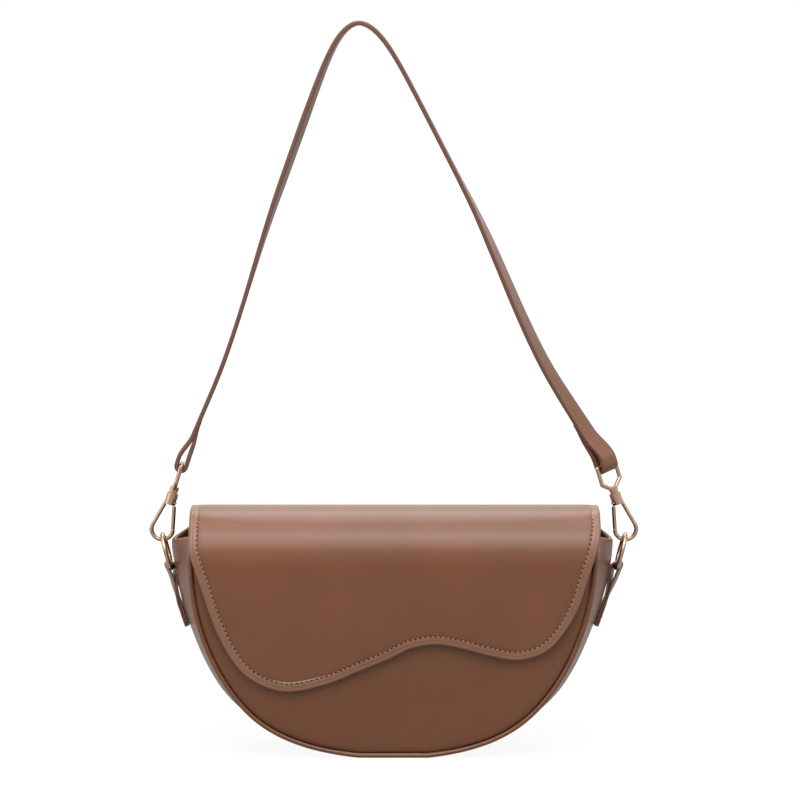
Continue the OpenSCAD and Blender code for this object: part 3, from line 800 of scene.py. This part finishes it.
# Twist in degrees at shares of the way from the left end over the top to the right end, as the photo shows it:
# the inner face turned forward on the upper left, edge on over the upper right, the outer face below
strapTwist = [(-1, 0), (-0.63, 0), (-0.49, -5), (-0.36, -12), (-0.22, -14), (0, -5), (0.15, 0), (0.34, 2),
              (0.42, 7), (0.5, 15), (0.63, 20), (0.77, 24), (0.9, 33), (1, 45)]
leanDirection = (math.sin(math.radians(strap["lean"])), math.cos(math.radians(strap["lean"])))
barAt = (strap["link"][0] - strap["bar"] * leanDirection[0],
         strap["link"][1] + strap["bow"] + strap["bar"] * leanDirection[1])
legHeight = strap["topZ"] - barAt[1]


def twistAt(share):
    # share is -1 at the left end, 0 at the top and 1 at the right end
    for (a, p), (b, q) in zip(strapTwist, strapTwist[1:]):
        if share <= b:
            return math.radians(p + (q - p) * (max(share, a) - a) / (b - a))
    return math.radians(strapTwist[-1][1])


def legX(side, h):
    # Where the middle of a leg is at height h above the bar: it sags inwards and bends over at the top
    d = legHeight - h
    reach = barAt[0] + side * strap["topX"] - strap["spread"]
    rise, fade = strap["sagRise"], strap["sagFade"]
    sag = strap["sag"][side] * softStep(h / rise) * (1 - softStep((h - rise) / fade))
    return -strap["topX"] + side * (reach * d / legHeight - sag
                                    + strap["spread"] * math.sqrt(1 - math.exp(-d / strap["apexHeight"])))


def legStation(side, h, shift, turned=False, thin=1):
    # A station of a leg at height h above the bar, moved out by shift; a turned one faces the other way
    f = softStep(h / strap["straighten"])
    step = legHeight / strap["slopeSteps"]
    high = min(h + step, legHeight)
    rise = Vector((legX(side, high) - legX(side, high - 2 * step), 2 * step))
    legOut = Vector((rise.y, -rise.x)).normalized() * side
    eyeOut = Vector((side * leanDirection[1], leanDirection[0]))
    o = (eyeOut * (1 - f) + legOut * f).normalized()
    n, a = Vector((o.x, 0, o.y)), twistAt(side * (1 - h / legHeight))
    out = n * math.cos(a) - Vector((0, math.sin(a), 0))
    across = n * math.sin(a) + Vector((0, math.cos(a), 0))
    x = side * (barAt[0] - h * leanDirection[0] / leanDirection[1]) * (1 - f) + legX(side, h) * f
    return Vector((x, 0, barAt[1] + h)) + out * shift, -out if turned else out, across, thin


def legStations(side, s):
    # From the skived end of the tail, down to the bar and round it, and up the leg to the top
    stations = []
    for i in range(s["loopSteps"], 0, -1):
        h = s["turnBack"] * i / s["loopSteps"]
        f = softStep((h - s["leafStart"]) / s["leafLength"])
        thin = 1 - (1 - s["skived"]) * softStep((h - s["skiveFrom"]) / (s["skiveEnd"] - s["skiveFrom"]))
        glued = s["thick"] / 2 * (1 + thin) + s["glue"]
        stations.append(legStation(side, h, -s["loopRadius"] * (1 - f) - glued * f, True, thin))
    out, across = legStation(side, 0, 0)[1:3]
    up = Vector((-side * leanDirection[0], 0, leanDirection[1]))
    for i in range(s["barSteps"], -1, -1):
        a = math.pi * i / s["barSteps"]
        o = out * math.cos(a) - up * math.sin(a)
        stations.append((Vector((side * barAt[0], 0, barAt[1])) + o * s["loopRadius"], o, across, 1))
    for i in range(1, s["loopSteps"] + 1):
        h = s["straighten"] * i / s["loopSteps"]
        f = softStep((h - s["leafStart"]) / s["leafLength"])
        stations.append(legStation(side, h, s["loopRadius"] * (1 - f)))
    for i in range(1, s["legSteps"]):
        share = 1 - (1 - i / s["legSteps"]) ** 2
        stations.append(legStation(side, s["straighten"] + (legHeight - s["straighten"]) * share, 0))
    return stations


def makeStrap(s):
    a = twistAt(0)
    top = [(Vector((-s["topX"], 0, s["topZ"])), Vector((0, -math.sin(a), math.cos(a))),
            Vector((0, math.cos(a), math.sin(a))), 1)]
    stations = legStations(-1, s) + top + legStations(1, s)[::-1]
    section = stripSection(s["width"], s["thick"], s["soft"], s["across"], s["crown"])
    piece = strip("strapLeather", stations, section)
    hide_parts("strap_face", "strap_lining")
    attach(piece, "strap")


makeStrap(strap)
print("strap ready")


# Tabs: each is one strip that goes up the outside, round the ring and down again on the gusset. From turnFrom
# up it turns on its long axis, as the photo shows, and needs turnRoom more beside the gusset

tab = {"width": 10, "thick": 1.25, "soft": 0.4, "across": 4, "foot": (123.43, 101.57), "lean": 15, "sag": 1.36,
       "reach": 2.15, "ringSteps": 8, "neckDown": 6, "neckOut": 1.2, "turn": 15, "turnFrom": 80, "turnOver": 14,
       "turnRoom": 0.7, "endHeight": 71.9, "outer": 2.2, "outerStep": 5, "outerPoints": 4, "inner": 0.95,
       "innerTop": 94, "innerSteps": 5, "steps": 70, "seam": (74.2, 3.2), "seamFrom": -3.6, "pitch": 2.4,
       "holes": 4, "stitchLift": 0.02}


def skinAt(z, out, side):
    # Distance from the middle and height of a point of the gusset's middle line, moved outwards
    drop = 1 - (z + body["baseFlat"]) / (body["height"] + body["baseFlat"])
    t = side * math.degrees(math.acos(drop ** (body["square"] / 2)))
    q = sidePoint(t, 0, 0, out)
    return (abs(q.x), q.z)


def makeTab(name, side, node, s):
    lean = math.radians(s["lean"])
    up, outboard = (math.sin(lean), math.cos(lean)), (math.cos(lean), -math.sin(lean))
    foot = s["foot"]
    top = (foot[0] + up[0] * s["sag"], foot[1] + up[1] * s["sag"])
    end = s["endHeight"]

    def turned(z):
        return softStep((z - s["turnFrom"]) / s["turnOver"])

    def onSkin(z, out):
        return skinAt(z, out + s["turnRoom"] * turned(z), side)

    path = [onSkin(end + s["outerStep"] * k, s["outer"]) for k in range(s["outerPoints"])]
    path.append(tuple(foot[m] - up[m] * s["neckDown"] + outboard[m] * s["neckOut"] for m in (0, 1)))
    for k in range(s["ringSteps"] + 1):
        a = math.pi * k / s["ringSteps"]
        path.append(tuple(top[m] + s["reach"] * (outboard[m] * math.cos(a) + up[m] * math.sin(a))
                          for m in (0, 1)))
    path.append(tuple(foot[m] - up[m] - outboard[m] * s["reach"] for m in (0, 1)))
    down = end - s["innerTop"]
    path += [onSkin(s["innerTop"] + down * k / s["innerSteps"], s["inner"]) for k in range(s["innerSteps"] + 1)]
    line = throughPoints(path, s["steps"])
    stations = []
    for k, q in enumerate(line):
        a, b = line[max(0, k - 1)], line[min(len(line) - 1, k + 1)]
        turn = math.radians(s["turn"]) * turned(q[1])
        across = Vector((side * math.sin(turn), math.cos(turn), 0))
        out = across.cross(Vector((side * (b[0] - a[0]), 0, b[1] - a[1]))).normalized() * side
        stations.append((Vector((side * q[0], 0, q[1])), out, across, 1))
    piece = strip(name + "Leather", stations, stripSection(s["width"], s["thick"], s["soft"], s["across"]))
    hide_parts(node)
    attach(piece, "bag")
    # Two rows of stitches hold its end
    for number, z in enumerate((s["seam"][0], s["seam"][0] + s["seam"][1])):
        spots = []
        for k in range(s["holes"]):
            q = skinAt(z, s["outer"] + s["thick"] / 2 + s["stitchLift"], side)
            low = skinAt(z - 1, s["outer"] + s["thick"] / 2, side)
            normal = Vector((side * (q[1] - low[1]), 0, -(q[0] - low[0]))).normalized()
            spots.append((Vector((side * q[0], s["seamFrom"] + s["pitch"] * k, q[1])), normal))
        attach(stitchRow("%sStitches%d" % (name, number + 1), spots), "bag")


makeTab("leftTab", -1, "tab_left", tab)
makeTab("rightTab", 1, "tab_right", tab)
print("tabs ready")


# Yoke: the flap's back edge runs down the back panel as a sewn strip, which bends where the flap lifts

yoke = {"halfWidth": 110.6, "low": 105.5, "high": 122.5, "thick": 1.3, "soft": 0.4, "across": 60, "steps": 22,
        "stand": 0.75, "standTo": 112, "standFade": 10, "tuck": 0.55, "tuckFrom": 116, "tuckOver": 6,
        "seam": 109.5, "seamMargin": 5, "seamOut": 0.77, "pitch": 3.2}


def makeYoke(s):
    stations = []
    for k in range(s["steps"] + 1):
        z = s["low"] + (s["high"] - s["low"]) * k / s["steps"]
        stand = s["stand"] * (1 - softStep((z - s["standTo"]) / s["standFade"]))
        tuck = s["tuck"] * softStep((z - s["tuckFrom"]) / s["tuckOver"])
        y = body["halfDepth"] + s["thick"] / 2 + stand - tuck
        stations.append((Vector((0, y, z)), Vector((0, 1, 0)), Vector((1, 0, 0)), 1))
    section = stripSection(2 * s["halfWidth"], s["thick"], s["soft"], s["across"])
    piece = strip("backYokeLeather", stations, section)
    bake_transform(piece)
    half = s["halfWidth"] - s["seamMargin"]
    count = round(2 * half / s["pitch"])
    y = body["halfDepth"] + s["thick"] + s["seamOut"]
    spots = [(Vector((half * (1 - 2 * k / count), y, s["seam"])), Vector((0, 1, 0))) for k in range(count + 1)]
    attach(stitchRow("yokeStitches", spots), "bag")


makeYoke(yoke)
print("yoke ready")


# Lining: a front, a back and a long piece round the gusset, all of one cloth, and a patch pocket

lining = {"inset": 3.5, "faceY": 27, "thick": 0.45, "top": 118.5, "wave": 0.28, "waveLengths": (9, 13, 11, 17),
          "reach": 89.1, "under": 3.55, "riseFrom": 104, "riseOver": 8, "sideGap": 0.3, "columns": 90,
          "rows": 30}


def declareCloth(piece, s=lining):
    applyModifier(piece, "wall", "SOLIDIFY", thickness=s["thick"] * mm, offset=0)
    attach(piece, "bag")


def makeLining(name, side, node, s):
    a, b, c, d = s["waveLengths"]

    def place(i, j):
        x, z = moonInset(-90 + 180 * i / s["columns"], s["inset"])
        z = min(s["top"], z)
        z += (s["top"] - z) * j / s["rows"]
        wave = s["wave"] * math.sin(x / a + z / b + side) * math.sin(z / c - x / d)
        return (x, side * (s["faceY"] - wave), z)

    sheet = shapedSheet(name, s["columns"], s["rows"], place, [twill], away=(0, side * 400, 60))
    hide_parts(node)
    declareCloth(sheet)


def makeGussetLining(s):
    # It lies under the gusset's skin, and rises a little to meet the hems
    def place(i, j):
        t = -s["reach"] + 2 * s["reach"] * i / s["columns"]
        v = 2 * j / s["rows"] - 1
        lift = -s["under"] + softStep((moonPoint(t)[1] - s["riseFrom"]) / s["riseOver"])
        return sidePoint(t, v, v * (s["faceY"] - s["sideGap"]), lift)

    sheet = shapedSheet("gussetLiningCloth", s["columns"], s["rows"], place, [twill], away=(0, 0, -4000))
    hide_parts("gusset_lining")
    declareCloth(sheet)


makeLining("frontLiningCloth", -1, "front_lining", lining)
makeLining("backLiningCloth", 1, "back_lining", lining)
makeGussetLining(lining)
print("lining ready")


# Slip pocket: a patch on the back lining, open at its hemmed top

pocket = {"halfWidth": 60, "low": 42, "high": 102, "faceY": 26.62, "open": 1.55, "openShares": (0.55, 0.45),
          "openFrom": 60, "openOver": 40, "seamWidth": 7, "wave": 0.12, "waveLengths": (7, 19), "hem": 9,
          "hemIn": 0.5, "columns": 60, "rows": 34, "hemRows": 6, "seamInset": 1.5, "seamTop": 1, "hemInset": 2,
          "pitch": 3, "stitchOut": 0.27}


def pocketPlace(x, z, s):
    # The cloth stands off the lining inside its seams, most of all at its open top
    edge = min(s["halfWidth"] - abs(x), z - s["low"])
    low, more = s["openShares"]
    lift = s["open"] * softStep(edge / s["seamWidth"]) \
        * (low + more * softStep((z - s["openFrom"]) / s["openOver"]))
    wave = s["wave"] * math.sin(x / s["waveLengths"][0] + z / s["waveLengths"][1])
    return Vector((x, s["faceY"] - lift - wave, z))


def makePocket(s):
    def place(i, j):
        x = s["halfWidth"] * (2 * i / s["columns"] - 1)
        up = s["rows"] - s["hemRows"]
        if j <= up:
            return pocketPlace(x, s["low"] + (s["high"] - s["low"]) * j / up, s)
        k = (j - up) / s["hemRows"]
        behind = s["hemIn"] * min(1, k * s["hemRows"])
        return pocketPlace(x, s["high"] - s["hem"] * k, s) + Vector((0, behind, 0))

    sheet = shapedSheet("slipPocketCloth", s["columns"], s["rows"], place, [twill], away=(0, 400, 70))
    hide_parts("slip_pocket")
    declareCloth(sheet)
    # One row of stitches runs down, along and up the patch, and one along the hem
    side, low, top = s["halfWidth"] - s["seamInset"], s["low"] + s["seamInset"], s["high"] - s["seamTop"]
    hemSide, hemZ = s["halfWidth"] - s["hemInset"], s["high"] - s["hem"] + s["seamTop"]
    seams = [[(-side, top), (-side, low), (side, low), (side, top)], [(-hemSide, hemZ), (hemSide, hemZ)]]
    for number, line in enumerate(seams):
        points = evenly(line, round(evenly(line, 1)[1] / s["pitch"]))[0]
        spots = [(pocketPlace(x, z, s) - Vector((0, s["stitchOut"], 0)), Vector((0, -1, 0))) for x, z in points]
        row = stitchRow("pocketStitches%d" % (number + 1), spots)
        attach(row, "bag")


makePocket(pocket)
print("pocket ready")


# Lights: a white studio with a strip above the crown, a broad key high in front and a weak lamp at each side

# Each lamp: place in metres, point it faces, size and power
lights = {"world": 0.24,
          "topStrip": ((0, 0.24, 1.25), (0, 0.16, 0), (0.66, 2.6), 12.5),
          "frontKey": ((0, -1.35, 1.8), (0, 0, 0.1), (2.4, 1.5), 33),
          "leftSide": ((-1.5, -0.5, 0.5), (0, 0, 0.1), (1.4, 1.6), 5.5),
          "rightSide": ((1.5, -0.05, 1.05), (0.1, 0, 0.25), (0.8, 0.8), 3)}


def areaLight(name, place, aim, size, power):
    data = bpy.data.lights.new(name, "AREA")
    data.shape = "RECTANGLE"
    data.size, data.size_y = size
    data.energy = power
    lamp = bpy.data.objects.new(name, data)
    bpy.context.scene.collection.objects.link(lamp)
    lamp.location = place
    lamp.rotation_euler = (Vector(aim) - Vector(place)).to_track_quat("-Z", "Y").to_euler()


def makeStudio(s):
    world = bpy.data.worlds.new("studio")
    bpy.context.scene.world = world
    world.use_nodes = True
    world.node_tree.nodes.clear()
    # Camera, metal and glass see white, and all else gets the dimmer light of the room
    path = addNode(world, "LightPath")
    first = addNode(world, "Math", {"operation": "MAXIMUM"}, {0: (path, "Is Camera Ray"),
                                                              1: (path, "Is Glossy Ray")})
    seen = addNode(world, "Math", {"operation": "MAXIMUM"}, {0: (first, 0), 1: (path, "Is Transmission Ray")})
    strength = addNode(world, "MapRange", inputs={"Value": (seen, 0), "To Min": s["world"], "To Max": 1})
    background = addNode(world, "Background", inputs={"Color": (1, 1, 1, 1), "Strength": (strength, "Result")})
    addNode(world, "OutputWorld", inputs={"Surface": (background, 0)})
    for name, lamp in s.items():
        if name != "world":
            areaLight(name, *lamp)


# Paper under the bag: size, from and to in metres, where it fades from the shaded paper to plain white
paper = {"size": 12, "cells": 8, "below": 0.3, "colour": "#b4b4b4", "from": 0.2, "to": 0.8, "whiteNear": 0.8,
         "glow": 1.16, "mirrored": 0.3}


def makeFloor(s):
    clearSelection()
    bpy.ops.mesh.primitive_grid_add(x_subdivisions=s["cells"], y_subdivisions=s["cells"], size=s["size"])
    floor = bpy.context.object
    floor.name = "floor"
    floor.data.transform(floor.matrix_world)
    floor.matrix_world.identity()
    for v in floor.data.vertices:
        v.co.z = -s["below"] * mm
    m = newMaterial("palePaper", "#f2f2f2")
    path = addNode(m, "LightPath")
    place = addNode(m, "TexCoord")
    away = addNode(m, "VectorMath", {"operation": "LENGTH"}, {0: (place, "Object")})
    plain = addNode(m, "MapRange", inputs={"Value": (away, "Value"), "From Min": s["from"], "From Max": s["to"],
                                           "To Min": s["whiteNear"], "To Max": 1})
    shade = addNode(m, "BsdfDiffuse", inputs={"Color": linear(s["colour"]), "Roughness": 0.5})
    white = addNode(m, "Emission", inputs={"Color": (1, 1, 1, 1), "Strength": s["glow"]})
    # Reflections show the paper dimmer than the camera does, so that the bag's underside stays dark
    glossy = addNode(m, "Math", {"operation": "MULTIPLY"}, {0: (path, "Is Glossy Ray"), 1: s["mirrored"]})
    seen = addNode(m, "Math", {"operation": "MAXIMUM"}, {0: (path, "Is Camera Ray"), 1: (glossy, 0)})
    lit = addNode(m, "Math", {"operation": "MULTIPLY"}, {0: (seen, 0), 1: (plain, "Result")})
    both = addNode(m, "MixShader", inputs={"Fac": (lit, 0), 1: (shade, "BSDF"), 2: (white, "Emission")})
    addNode(m, "OutputMaterial", inputs={"Surface": (both, "Shader")})
    floor.data.materials.append(m)


makeStudio(lights)
makeFloor(paper)
bpy.context.scene.view_settings.view_transform = "Standard"
print("studio ready")


# The kept construction pieces take their finishes

finishes = {"plated_metal": roseGold, "spring_steel": steel, "stiffener_board": board, "lining_cloth": twill,
            "outer_leather": leather}
for part in frame["record"]["subparts"]:
    mesh = frame["nodes"][part["node"]].data
    mesh.materials.clear()
    mesh.materials.append(finishes[part["material_slot"]])
print("finishes ready")
